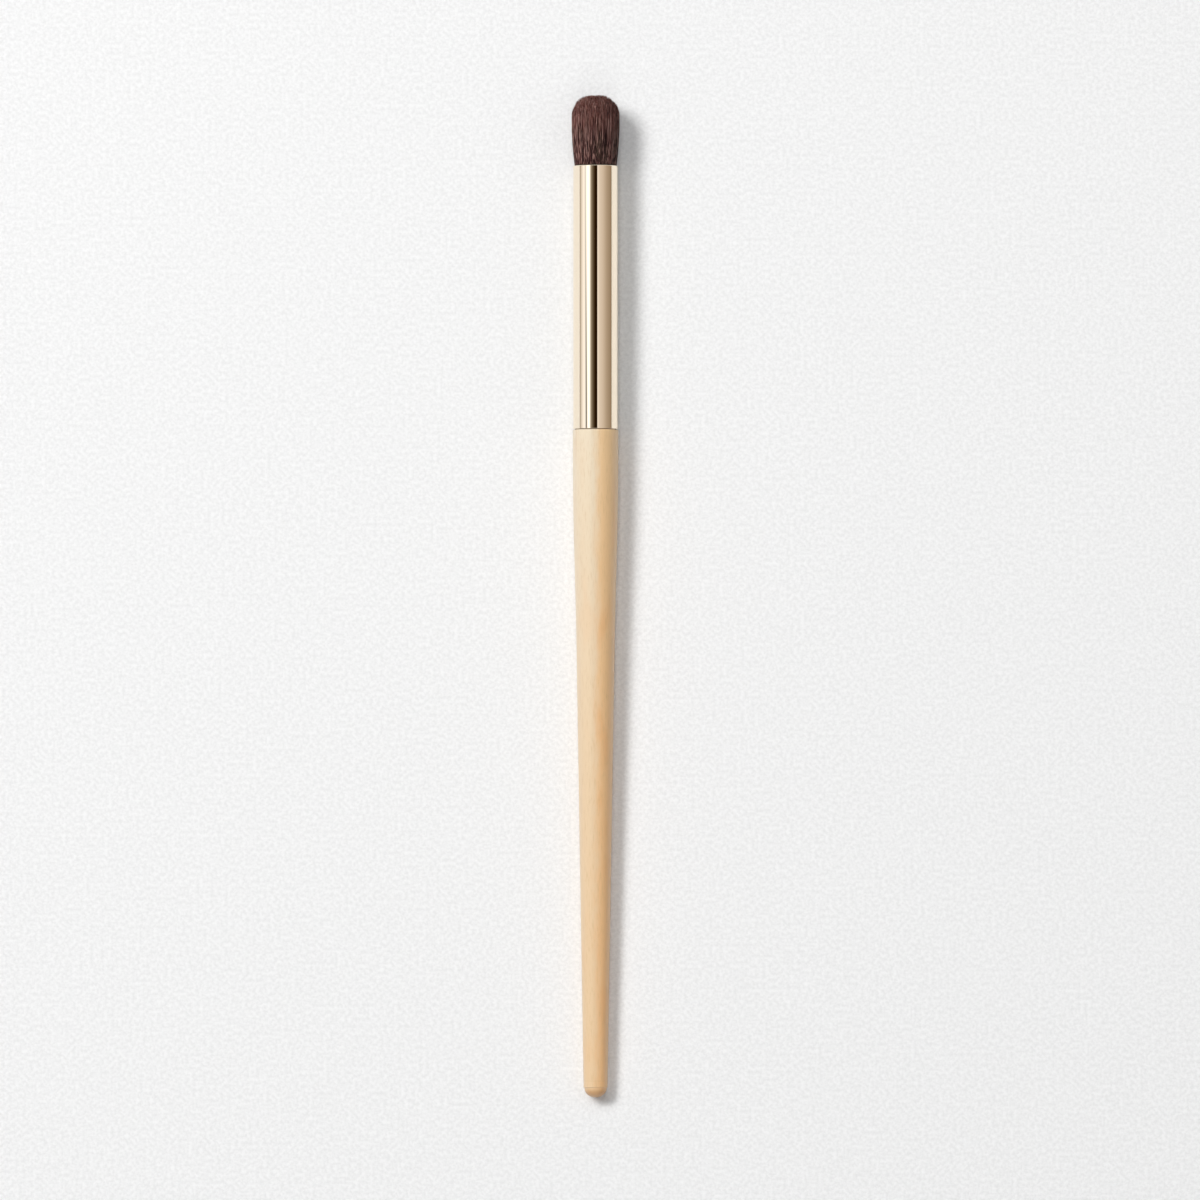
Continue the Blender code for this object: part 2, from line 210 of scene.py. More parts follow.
class TuftSettings(bpy.types.PropertyGroup):
    """Sizes and colours of the bristle tuft"""

    filaments: count("Filaments", "Filaments in the whole tuft", 8000)
    parts: count("Parts", "Pieces that the filaments are shared among", 2)
    width: length("Filament Width", "Width of a filament at its middle", 0.11)
    tip_width: length("Tip Width", "Width of a filament at its tip", 0.06)
    root_depth: length("Root Depth", "How far inside the mouth the filaments leave the bundle", 3)
    bundle_radius: length("Bundle Radius", "Radius of the glued bundle of roots", 3.2)
    waist_radius: length("Waist Radius", "Radius of the bundle under its binding", 2.75)
    waist_top: length("Waist Top", "How far inside the mouth the bundle's waist begins", 4.6)
    waist_length: length("Waist Length", "Length of the waist", 3.12)
    waist_slope: length("Waist Slope", "How soon the bundle narrows to its waist", 0.35)
    end_radius: length("Bundle End Radius", "Radius of the bundle's end in the resin", 3.072)
    bundle_sides: count("Bundle Sides", "Steps round the bundle", 64)
    mouth_radius: length("Mouth Radius", "Radius of the tuft in the ferrule's mouth", 3.49)
    belly_radius: length("Belly Radius", "Radius of the tuft at its widest", 4.04)
    belly_height: length("Belly Height", "Height of the widest place above the mouth", 7.8)
    dome_depth: length("Dome Depth", "How much shorter the outermost filaments are than the middle ones", 3.1)
    scatter: length("Tip Scatter", "How unevenly long the filaments are", 0.4)
    clumps: count("Clumps", "Locks that the filaments gather in towards their tips", 220)
    pull: share("Clump Pull", "How far a filament leans to its lock, of the way there", 0.5)
    stray: share("Stray", "How far a filament's tip strays sideways, of the tuft's radius", 0.07)
    bow: share("Bow", "How far a filament bows sideways at half its length, of the tuft's radius", 0.035)
    dark: colour("Dark Filament", "Darkest filaments", (0.018, 0.006, 0.006))
    light: colour("Light Filament", "Lightest filaments", (0.158, 0.055, 0.050))
    olive: colour("Olive Filament", "Lightest filaments where they are greyer", (0.120, 0.076, 0.052))
    tinge_size: length("Tinge Size", "Width of a redder or greyer place", 1.3)
    # Painted highlight: light streaks painted on the filaments where they would catch the light.
    painted_highlight: colour("Sheen", "Short light streaks where filaments cross", (0.335, 0.190, 0.162))
    streak_width: length("Streak Width", "Width of a light streak", 0.13)
    streak_length: length("Streak Length", "Length of a light streak", 3.2)
    tip: colour("Tips", "Tinge of the thin tips", (0.225, 0.082, 0.067))
    # Painted shadow: the filaments just above the mouth are painted dark, where they sink into the ferrule
    # and lie in its shade.
    painted_mouth_shadow: colour("Mouth Shade", "Filaments where they come out of the mouth", (0.018, 0.012, 0.006))
    painted_mouth_shadow_height: length("Mouth Shade Height", "How far up that shade reaches", 0.33)
    roughness: share("Roughness", "Roughness of the filaments", 0.42)
    gloss: share("Gloss", "Strength of the filaments' shine", 0.2)


class HiddenSettings(bpy.types.PropertyGroup):
    """Colours of what the ferrule hides"""

    resin: colour("Resin", "Cast resin plug", (0.55, 0.38, 0.16))
    thread: colour("Thread", "Waxed binding thread", (0.75, 0.72, 0.66))
    glue: colour("Glue", "Dried wood glue", (0.70, 0.60, 0.40))


class StageSettings(bpy.types.PropertyGroup):
    """Paper, light and camera"""

    paper: colour("Paper", "White drawing paper", (0.93, 0.93, 0.93))
    # Painted shade: the hollows between the paper's raised grain are painted darker.
    painted_paper_hollow_shade: colour("Paper Hollows", "The paper between its raised grain", (0.82, 0.82, 0.82))
    paper_size: length("Paper Size", "Side of the sheet under the brush", 6000)
    tooth_size: length("Tooth Size", "Size of the paper's raised grain", 0.6)
    tooth_height: length("Tooth Height", "Height of the paper's raised grain", 0.075)
    lamp_distance: length("Lamp Distance", "From the brush to each softbox", 2200)
    key_direction: FloatVectorProperty(
        name="Key Direction", description="From the brush to the key softbox", default=(-0.66, 0.48, 1.0),
        size=3, subtype="DIRECTION",
    )
    key_spread: angles("Key Spread", "How large the key softbox looks, upwards and sideways", 14, 24)
    key_share: share("Key Share", "Light that the key gives, of what lights the paper", 0.61)
    end_rise: angle("End Rise", "How high over the paper the two end softboxes stand", 66)
    end_spread: angles("End Spread", "How large each end softbox looks, upwards and sideways", 52, 14)
    end_shares: shares("End Shares", "Light that the tuft's and the butt's end softbox give", 0.19, 0.13)
    fill_rise: angle("Fill Rise", "How high over the paper the fill softbox on the right stands", 45)
    fill_spread: angles("Fill Spread", "How large the fill softbox looks, upwards and sideways", 50, 50)
    fill_share: share("Fill Share", "Light that the fill gives, of what lights the paper", 0.07)
    room: colour("Room", "Soft light from all round", (0.11, 0.11, 0.11))
    backdrop: colour("Backdrop", "What shows behind the paper and in the metal", (0.86, 0.86, 0.85))
    tent_radius: length("Tent Radius", "Radius of the arched light tent that only the gloss shows", 1300)
    tent_length: length("Tent Length", "Length of the light tent", 2400)
    tent_bar_angles: angles("Tent Bar", "Angle of the tent's bar, at the tuft and at the handle", -53, -47.8)
    tent_bar_width: angle("Tent Bar Width", "Width of the tent's bar", 17)
    tent_bar_depth: shares("Tent Bar Depth", "How dark the bar is, at the tuft and at the handle", 0.35, 1.0)
    tent_bar_span: offsets("Tent Bar Span", "Between which places along the brush the bar changes", 152, 66)
    tent_bar_tone: colour("Tent Bar Colour", "Tent's bar where it is darkest", (0.1, 0.09, 0.08))
    camera_distance: length("Camera Distance", "From the brush's middle to the lens", 2000)
    camera_lean: angle("Camera Lean", "How far the camera leans from straight above towards the butt", 2.7)
    camera_offset: offsets("Camera Offset", "Where the camera aims, from the brush's middle", 0.76, -0.73)
    view_width: length("View Width", "Width of the view at the height of the brush's axis", 203.4)


class BrushSettings(bpy.types.PropertyGroup):
    """All settings of the brush"""

    handle: PointerProperty(type=HandleSettings)
    ferrule: PointerProperty(type=FerruleSettings)
    tuft: PointerProperty(type=TuftSettings)
    hidden: PointerProperty(type=HiddenSettings)
    stage: PointerProperty(type=StageSettings)


class Value:
    """An output of a node. Arithmetic on it adds Math nodes."""

    def __init__(self, graph, socket):
        self.graph = graph
        self.socket = socket

    def math(self, operation, first, second):
        return self.graph.node("ShaderNodeMath", {"operation": operation}, {0: first, 1: second})

    def __add__(self, other):
        return self.math("ADD", self, other)

    def __radd__(self, other):
        return self.math("ADD", other, self)

    def __sub__(self, other):
        return self.math("SUBTRACT", self, other)

    def __rsub__(self, other):
        return self.math("SUBTRACT", other, self)

    def __mul__(self, other):
        return self.math("MULTIPLY", self, other)

    def __rmul__(self, other):
        return self.math("MULTIPLY", other, self)

    def __pow__(self, other):
        return self.math("POWER", self, other)

    def __abs__(self):
        return self.math("ABSOLUTE", self, None)


def fill_ramp(ramp, stops):
    """Give a colour ramp these stops, each a position from 0 to 1 and a colour."""
    while len(ramp.elements) < len(stops):
        ramp.elements.new(1.0)
    for element, (position, tone) in zip(ramp.elements, stops):
        element.position = position
        element.color = (*tone, 1)


class Graph:
    """A node tree that is filled from an empty start."""

    def __init__(self, tree):
        self.tree = tree
        tree.nodes.clear()

    def node(self, kind, settings=None, inputs=None, output=0):
        """Add a node with its settings and its sockets' values or links, and return one of its outputs."""
        added = self.tree.nodes.new(kind)
        for name, value in (settings or {}).items():
            if name == "stops":
                fill_ramp(added.color_ramp, value)
            else:
                setattr(added, name, value)
        for name, value in (inputs or {}).items():
            if isinstance(value, Value):
                self.tree.links.new(value.socket, added.inputs[name])
            elif value is not None:
                added.inputs[name].default_value = value
        return Value(self, added.outputs[output]) if added.outputs else None

    def upright(self, scale=(1, 1, 1)):
        """Coordinates on the upright brush, in metres, each then multiplied by its scale."""
        inputs = {"Vector": self.lying(), "Location": LIE.translation, "Rotation": LIE.to_euler()}
        upright = self.node("ShaderNodeMapping", {"vector_type": "TEXTURE"}, inputs)
        return self.node("ShaderNodeVectorMath", {"operation": "MULTIPLY"}, {0: upright, 1: scale})

    def lying(self):
        """Coordinates as the pieces lie, in metres."""
        return self.node("ShaderNodeTexCoord", output="Object")

    def noise(self, place, size, detail=2.0, roughness=0.5):
        """Soft noise from 0 to 1 whose lumps have this size."""
        inputs = {"Vector": place, "Scale": 1 / size, "Detail": detail, "Roughness": roughness}
        return self.node("ShaderNodeTexNoise", {"normalize": True}, inputs)

    def grain(self, width, slimness, detail=2.0, roughness=0.5):
        """Noise in marks drawn out along the brush. Slimness is a mark's width over its length."""
        return self.noise(self.upright((1, 1, slimness)), width, detail, roughness)

    def step(self, value, low, high):
        """0 below low, 1 above high, and a smooth rise between them."""
        inputs = {"Value": value, "From Min": low, "From Max": high}
        return self.node("ShaderNodeMapRange", {"interpolation_type": "SMOOTHSTEP"}, inputs)

    def blend(self, factor, first, second):
        """The first colour at factor 0, the second at 1. Each is three numbers or a node's colour."""
        ends = [end if isinstance(end, Value) else (*end, 1) for end in (first, second)]
        inputs = {"Factor": factor, 6: ends[0], 7: ends[1]}
        return self.node("ShaderNodeMix", {"data_type": "RGBA"}, inputs, output=2)

    def coordinate(self, place, axis):
        return self.node("ShaderNodeSeparateXYZ", inputs={0: place}, output=axis)

    def bump(self, height, distance):
        return self.node("ShaderNodeBump", inputs={"Height": height, "Distance": distance, "Strength": 1.0})

    def surface(self, **inputs):
        """A Principled surface. Underscores stand for spaces in the names of its sockets."""
        named = {name.replace("_", " "): value for name, value in inputs.items()}
        shader = self.node("ShaderNodeBsdfPrincipled", inputs=named)
        self.node("ShaderNodeOutputMaterial", inputs={"Surface": shader})


def new_material(name):
    """A new material and its empty node graph."""
    material = bpy.data.materials.new(name)
    material.use_nodes = True
    return material, Graph(material.node_tree)


# How the materials' patterns are drawn. Levels are where the noise lets a mark come in and where the mark
# is full. A strength is how much of the mark's colour then shows.
BROAD_SLIMNESS = 0.3

FIBRES_PER_FLECK = 3
FIBRE_STRETCH = 4  # how much slimmer a fibre is than a fleck
FIBRE_RELIEF = 0.5  # height of a fibre, of a fleck's
FIGURE_SHARE = 0.6  # width of the broad figure, of a fleck's length
PATCH_SHARE = 0.3  # width of a warm patch, of its length
PAINTED_LIGHT_WANDER = 1.5  # how far the figure moves the line where the sides meet, of its blur
FADE_POWER = 0.5  # below 1, the colours change soonest near the shoulder
GLOW_LEVELS = (0.5, 0.75)
GLOW_STRENGTH = 0.5
GLOW_LOSS = 0.35  # how much of that strength the pale side loses
MARK_SHARES = (0.6, 0.25, 0.15)  # of flecks, fibres and figure in the dark marks
MARK_LEVELS = (0.48, 0.72)
MARK_STRENGTH = 0.5
BUTT_TONE_SHARES = (1.1, 0.5)  # where the end's colour comes in and is full, of the butt's height
BUTT_TONE_STRENGTH = 0.7
COAT_LINE_STRENGTH = 0.2
WOOD_ROUGHNESS_SWING = 0.08


def birch_material(settings):
    """Birch under satin lacquer, with fine flecks and a darker butt, painted lighter on the side towards the
    key lamp and warmer on the far side as painted light and shade.
    """
    material, graph = new_material("birch_satin")
    slimness = settings.fleck_width / settings.fleck_length
    fleck = graph.grain(settings.fleck_width, slimness, detail=3, roughness=0.6)
    fibre = graph.grain(settings.fleck_width / FIBRES_PER_FLECK, slimness / FIBRE_STRETCH)
    figure = graph.grain(settings.fleck_length * FIGURE_SHARE, BROAD_SLIMNESS)
    patch = graph.grain(settings.patch_length * PATCH_SHARE, BROAD_SLIMNESS, detail=1)
    place = graph.upright()
    height = graph.coordinate(place, "Z")
    down = graph.step(height, FERRULE_END - settings.seat_gap, BUTT_END) ** FADE_POWER
    # Painted light and shade: lighter on the side towards the key lamp, warmer on the side away from it.
    edge, blur = settings.painted_light_edge, settings.painted_light_blur
    sideways = graph.coordinate(place, "X") + (figure - 0.5) * (blur * PAINTED_LIGHT_WANDER)
    painted_lit = graph.step(sideways, edge + blur, edge - blur)
    wood = graph.blend(
        painted_lit,
        graph.blend(down, settings.painted_shaded_side, settings.painted_shaded_butt),
        graph.blend(down, settings.painted_lit_side, settings.painted_lit_butt),
    )
    glow = graph.step(patch, *GLOW_LEVELS) * (GLOW_STRENGTH - painted_lit * GLOW_LOSS)
    wood = graph.blend(glow, wood, settings.glow)
    marks = fleck * MARK_SHARES[0] + fibre * MARK_SHARES[1] + figure * MARK_SHARES[2]
    wood = graph.blend(graph.step(marks, *MARK_LEVELS) * MARK_STRENGTH, wood, settings.fleck)
    # Darker and more orange over the rounded end.
    butt = graph.step(height, *(BUTT_END + settings.butt_height * reach for reach in BUTT_TONE_SHARES))
    wood = graph.blend(butt * BUTT_TONE_STRENGTH, wood, settings.butt_tone)
    away = abs(height - (BUTT_END + settings.coat_height))
    wood = graph.blend(graph.step(away, settings.coat_line, 0.0) * COAT_LINE_STRENGTH, wood, settings.fleck)
    graph.surface(
        Base_Color=wood,
        Roughness=settings.roughness - fleck * WOOD_ROUGHNESS_SWING,
        Coat_Weight=settings.lacquer,
        Coat_Roughness=settings.lacquer_roughness,
        Normal=graph.bump(fleck + fibre * FIBRE_RELIEF, settings.grain_height),
    )
    return material


LINE_SLIMNESS = 0.01
SMUDGE_SLIMNESS = 0.4
LINE_SHARE = 0.5  # of the draw lines in the metal's tone, where the smudges have the rest
METAL_TONE_SWING = 0.02
METAL_ROUGHNESS_LEAST = 0.6
METAL_ROUGHNESS_SWING = 0.8


def metal_material(settings):
    """Polished champagne metal with the faintest draw lines."""
    material, graph = new_material("champagne_mirror")
    lines = graph.grain(settings.line_width, LINE_SLIMNESS)
    smudge = graph.grain(settings.smudge_width, SMUDGE_SLIMNESS, detail=3)
    light = tuple(min(channel * (1 + METAL_TONE_SWING), 1.0) for channel in settings.metal)
    dull = tuple(channel * (1 - METAL_TONE_SWING) for channel in settings.metal)
    graph.surface(
        Base_Color=graph.blend(lines * LINE_SHARE + smudge * (1 - LINE_SHARE), dull, light),
        Metallic=1.0,
        Roughness=settings.roughness * (METAL_ROUGHNESS_LEAST + smudge * METAL_ROUGHNESS_SWING),
    )
    return material


OLIVE_LEVELS = (0.42, 0.62)
OLIVE_LIFT = 0.15  # how much the noise is raised at the tuft's two sides
SIDES_START_SHARE = 0.6  # where those sides start, of the square of the tuft's radius
TIP_START_SHARE = 0.6  # where the tips' tinge starts, of a filament's length
TIP_STRENGTH = 0.6
PAINTED_HIGHLIGHT_LEVELS = (0.51, 0.64)
# Painted shade: dark streaks painted between the filaments' painted highlights.
PAINTED_SHADE_STREAK_LEVELS = (0.48, 0.36)
PAINTED_SHADE_STREAK_STRENGTH = 0.95
PAINTED_SHADE_SIDE_START = -0.3  # where the side away from the key lamp starts, of the tuft's radius
PAINTED_SHADE_SIDE_STRENGTH = 0.35
# Painted shadow on the filaments just above the mouth.
PAINTED_MOUTH_SHADOW_STRENGTH = 0.9
FILAMENT_ROUGHNESS_SWING = 0.12


def filament_material(settings):
    """Dark brown filaments, each in its own shade, redder at their tips and greyer at the tuft's sides, with
    painted highlight and shade streaks, painted shade on the side away from the key lamp and a painted shadow
    at the mouth.
    """
    material, graph = new_material("dark_filament")
    shade = graph.node("ShaderNodeAttribute", {"attribute_name": "shade"}, output="Fac")
    along = graph.node("ShaderNodeAttribute", {"attribute_name": "along"}, output="Fac")
    streak = graph.grain(settings.streak_width, settings.streak_width / settings.streak_length, detail=1)
    tinge = graph.grain(settings.tinge_size, BROAD_SLIMNESS, detail=1)
    place = graph.upright()
    height = graph.coordinate(place, "Z")
    across = graph.coordinate(place, "X")
    belly = settings.belly_radius
    sides = graph.step(across * across, SIDES_START_SHARE * belly**2, belly**2)
    greyer = graph.step(tinge + sides * OLIVE_LIFT, *OLIVE_LEVELS)
    brown = graph.blend(shade, settings.dark, graph.blend(greyer, settings.light, settings.olive))
    brown = graph.blend(graph.step(along, TIP_START_SHARE, 1.0) * TIP_STRENGTH, brown, settings.tip)
    # Painted highlight streaks, then painted shade streaks between them.
    brown = graph.blend(graph.step(streak, *PAINTED_HIGHLIGHT_LEVELS), brown, settings.painted_highlight)
    # Painted shade streaks in the gaps between filaments.
    brown = graph.blend(graph.step(streak, *PAINTED_SHADE_STREAK_LEVELS) * PAINTED_SHADE_STREAK_STRENGTH, brown, settings.dark)
    # Painted shade: the side away from the key lamp is painted darker.
    painted_lee_shade = graph.step(across, PAINTED_SHADE_SIDE_START * belly, belly)
    brown = graph.blend(painted_lee_shade * PAINTED_SHADE_SIDE_STRENGTH, brown, settings.dark)
    # Painted shadow on the filaments just above the mouth.
    mouth = graph.step(height, settings.painted_mouth_shadow_height, 0.0)
    brown = graph.blend(mouth * PAINTED_MOUTH_SHADOW_STRENGTH, brown, settings.painted_mouth_shadow)
    graph.surface(
        Base_Color=brown,
        Roughness=settings.roughness + streak * FILAMENT_ROUGHNESS_SWING,
        Specular_IOR_Level=settings.gloss,
    )
    return material


def clouded_material(name, tone, lump_size, darkest, roughness, roughness_swing, relief=None):
    """A plain finish, clouded by soft noise from a darker share of its colour up to the full one."""
    material, graph = new_material(name)
    cloud = graph.noise(graph.upright(), lump_size, detail=3)
    dark = tuple(channel * darkest for channel in tone)
    graph.surface(
        Base_Color=graph.blend(cloud, dark, tone),
        Roughness=roughness + cloud * roughness_swing,
        Normal=graph.bump(cloud, relief) if relief else None,
    )
    return material


def resin_material(settings):
    return clouded_material(
        "amber_resin",
        settings.resin,
        lump_size=1.5 * MM,
        darkest=0.6,
        roughness=0.15,
        roughness_swing=0.15,
    )


def thread_material(settings):
    return clouded_material(
        "waxed_thread",
        settings.thread,
        lump_size=0.08 * MM,
        darkest=0.7,
        roughness=0.6,
        roughness_swing=0.2,
        relief=0.02 * MM,
    )


def glue_material(settings):
    return clouded_material(
        "dried_glue",
        settings.glue,
        lump_size=0.8 * MM,
        darkest=0.75,
        roughness=0.3,
        roughness_swing=0.2,
    )


TOOTH_LEVELS = (0.3, 0.7)


def paper_material(settings):
    """White drawing paper with a raised tooth and painted shade in the hollows between its grain."""
    material, graph = new_material("drawing_paper")
    tooth = graph.noise(graph.lying(), settings.tooth_size, detail=4, roughness=0.65)
    graph.surface(
        Base_Color=graph.blend(graph.step(tooth, *TOOTH_LEVELS), settings.painted_paper_hollow_shade, settings.paper),
        Roughness=0.9,
        Specular_IOR_Level=0.2,
        Normal=graph.bump(tooth, settings.tooth_height),
    )
    return material


def arc(centre_radius, centre_height, reach, start, end, steps, rise=None):
    """Points (radius, height) on a round or elliptical arc, with its angles in quarter turns."""
    rise = reach if rise is None else rise
    points = []
    for step in range(steps + 1):
        turn = (start + (end - start) * step / steps) * math.pi / 2
        points.append((centre_radius + reach * math.cos(turn), centre_height + rise * math.sin(turn)))
    return points


def turned(outline, sides, closed=False):
    """A turned shape: an outline that runs down its outer side, spun round the brush's axis."""
    shape = bmesh.new()
    corners = [shape.verts.new((radius, 0, height)) for radius, height in outline]
    edges = [shape.edges.new(ends) for ends in zip(corners, corners[1:])]
    if closed:
        edges.append(shape.edges.new((corners[-1], corners[0])))
    bmesh.ops.spin(
        shape, geom=corners + edges, axis=(0, 0, 1), angle=math.tau, steps=sides, use_merge=True
    )
    bmesh.ops.remove_doubles(shape, verts=shape.verts, dist=MERGE_DISTANCE)
    bmesh.ops.recalc_face_normals(shape, faces=shape.faces)
    return shape


def add_piece(name, shape, material, nodes):
    """Lay a finished shape down with the brush and make it a piece that stands for these solids."""
    bmesh.ops.transform(shape, matrix=LIE, verts=shape.verts)
    mesh = bpy.data.meshes.new(name)
    shape.to_mesh(mesh)
    shape.free()
    mesh.materials.append(material)
    mesh.shade_smooth()
    mesh.set_sharp_from_angle(angle=SHARP_ANGLE)
    piece = bpy.data.objects.new(name, mesh)
    bpy.context.scene.collection.objects.link(piece)
    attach(piece, "root")
    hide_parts(*nodes)


TAPER_STEPS = 90
EDGE_STEPS = 6
DOME_STEPS = 20


def handle_radius(settings, distance, taper_length):
    """The handle's radius below the shoulder: a straight taper, eased in over the swell."""
    ease = min(distance / settings.swell_length, 1)
    ease = ease * ease * (3 - 2 * ease)
    return SHOULDER_RADIUS - (SHOULDER_RADIUS - settings.butt_radius) * ease * distance / taper_length


def tenon_outline(settings, shoulder):
    """Points down the tenon, in and out of its glue grooves."""
    side = settings.tenon_radius
    floor = side - settings.groove_depth
    half = settings.groove_width / 2
    chamfer = settings.tenon_chamfer
    points = [(0, TENON_TOP), (side - chamfer, TENON_TOP), (side, TENON_TOP - chamfer)]
    first = (TENON_TOP + shoulder) / 2 + settings.groove_pitch * (settings.groove_count - 1) / 2
    for groove in range(settings.groove_count):
        top = first - settings.groove_pitch * groove + half
        bottom = first - settings.groove_pitch * groove - half
        points += [(side, top), (floor, top), (floor, bottom), (side, bottom)]
    return points + [(side, shoulder)]


def handle_outline(settings):
    """Tenon, shoulder, swell, taper and butt, from the top down."""
    shoulder = FERRULE_END - settings.seat_gap
    edge = settings.shoulder_edge
    butt_edge = BUTT_END + settings.butt_height
    taper_length = shoulder - butt_edge
    points = tenon_outline(settings, shoulder)
    points += arc(SHOULDER_RADIUS - edge, shoulder - edge, edge, 1, 0, EDGE_STEPS)
    for step in range(1, TAPER_STEPS + 1):
        distance = edge + (taper_length - settings.butt_step - edge) * step / TAPER_STEPS
        points.append((handle_radius(settings, distance, taper_length), shoulder - distance))
    dome_radius = settings.butt_radius - settings.butt_step
    return points + arc(0, butt_edge, dome_radius, 0, -1, DOME_STEPS, rise=settings.butt_height)


class BLENDINGBRUSH_OT_make_handle(bpy.types.Operator):
    """Turn the birch handle, with its tenon, swell, taper and rounded butt"""

    bl_idname = "blendingbrush.make_handle"
    bl_label = "Make Handle"

    def execute(self, context):
        settings = context.scene.blending_brush.handle
        shape = turned(handle_outline(settings), settings.sides)
        add_piece("handle_wood", shape, birch_material(settings), ["handle"])
        return {"FINISHED"}


def ferrule_outline(settings):
    """The rounded mouth, the outer side, the handle's end and the bore."""
    bore = FERRULE_RADIUS - settings.wall
    lip, edge = settings.lip_radius, settings.end_edge
    points = arc(FERRULE_RADIUS - lip, MOUTH - lip, lip, 2, 0, 2 * EDGE_STEPS)
    points += [(FERRULE_RADIUS, MOUTH - lip - edge), (FERRULE_RADIUS, FERRULE_END + 2 * edge)]
    points += arc(FERRULE_RADIUS - edge, FERRULE_END + edge, edge, 0, -1, EDGE_STEPS)
    return points + [(bore, FERRULE_END), (bore, MOUTH - 2 * lip)]


class BLENDINGBRUSH_OT_make_ferrule(bpy.types.Operator):
    """Draw the metal tube, with its rounded mouth"""

    bl_idname = "blendingbrush.make_ferrule"
    bl_label = "Make Ferrule"

    def execute(self, context):
        settings = context.scene.blending_brush.ferrule
        shape = turned(ferrule_outline(settings), settings.sides, closed=True)
        add_piece("ferrule_tube", shape, metal_material(settings), ["ferrule"])
        return {"FINISHED"}


GOLDEN_TURN = math.pi * (3 - math.sqrt(5))
FILAMENT_SIDES = 3
STATION_SHARES = (0.0, 0.2, 0.4, 0.6, 0.8, 1.0)  # places up a filament, of its length
TAPER_START = 0.7
SCATTER_SEED = 7
CLUMP_DRIFT = 0.5  # how unevenly the locks stand, where 1 over the root of their number is 1
CLUMP_SHADE_SPREAD = 0.1
CLUMP_DROPS = (-0.4, 1.8)  # least and most that a lock is shorter, of the tips' scatter
TIP_DROPS = (-0.7, 1)  # least and most that a filament is shorter than its lock, of that scatter
PULLS = (0.6, 1.3)  # least and most of the pull that a filament follows
SHADE_BALANCE = (1.3, 2.3)  # how the filaments lean to light and to dark


def even_places(number):
    """Places spread evenly over a round of radius 1, from its middle outwards."""
    places = []
    for index in range(number):
        reach = math.sqrt((index + 0.5) / number)
        turn = GOLDEN_TURN * index
        places.append(Vector((reach * math.cos(turn), reach * math.sin(turn), 0)))
    return places


def tuft_radius(settings, height):
    """The tuft's radius at a height: narrow in the mouth, widest at the belly, a little drawn in above it."""
    mouth = settings.mouth_radius
    if height < 0:
        return mouth + (mouth - settings.bundle_radius) * height / settings.root_depth
    below = (settings.belly_height - height) / settings.belly_height
    return settings.belly_radius - (settings.belly_radius - mouth) * below * below


def drift(scatter, spread):
    """A random step across the brush."""
    return Vector((scatter.gauss(0, spread), scatter.gauss(0, spread), 0))


def clump_finder(settings, scatter):
    """A tree of the places that the filaments gather round."""
    finder = KDTree(settings.clumps)
    spread = CLUMP_DRIFT / math.sqrt(settings.clumps)
    for index, place in enumerate(even_places(settings.clumps)):
        finder.insert(place + drift(scatter, spread), index)
    finder.balance()
    return finder


def plan_filaments(settings, scatter):
    """Every filament's root, tip and bow in shares of the tuft's radius, its tip's height, shade and turn."""
    finder = clump_finder(settings, scatter)
    clump_shades = [scatter.gauss(0, CLUMP_SHADE_SPREAD) for _ in range(settings.clumps)]
    clump_drops = [scatter.uniform(*CLUMP_DROPS) * settings.scatter for _ in range(settings.clumps)]
    plans = []
    for root in even_places(settings.filaments):
        gather, clump, _ = finder.find(root)
        stray = drift(scatter, settings.stray)
        tip = root + (gather - root) * settings.pull * scatter.uniform(*PULLS) + stray
        if tip.length > 1:
            tip *= 1 / tip.length
        bow = drift(scatter, settings.bow)
        drop = settings.dome_depth * (1 - math.sqrt(1 - min(tip.length, 1) ** 2))
        drop = max(drop + scatter.uniform(*TIP_DROPS) * settings.scatter + clump_drops[clump], 0)
        shade = min(max(scatter.betavariate(*SHADE_BALANCE) + clump_shades[clump], 0), 1)
        plans.append((root, tip, bow, TUFT_TOP - drop, shade, scatter.uniform(0, math.tau)))
    return plans


def filament_middle(settings, plan, along):
    """Where a filament's middle is at a share of its length."""
    root, tip, bow, tip_height, _, _ = plan
    height = -settings.root_depth + (tip_height + settings.root_depth) * along
    reach = root.lerp(tip, along * along) + bow * math.sin(math.pi * along)
    if reach.length > 1:
        reach *= 1 / reach.length
    reach *= tuft_radius(settings, height)
    return Vector((reach.x, reach.y, height))


def filament_width(settings, along):
    """A filament's width: even along most of it, then a fine point."""
    taper = max(0.0, (along - TAPER_START) / (1 - TAPER_START))
    return settings.width + (settings.tip_width - settings.width) * taper


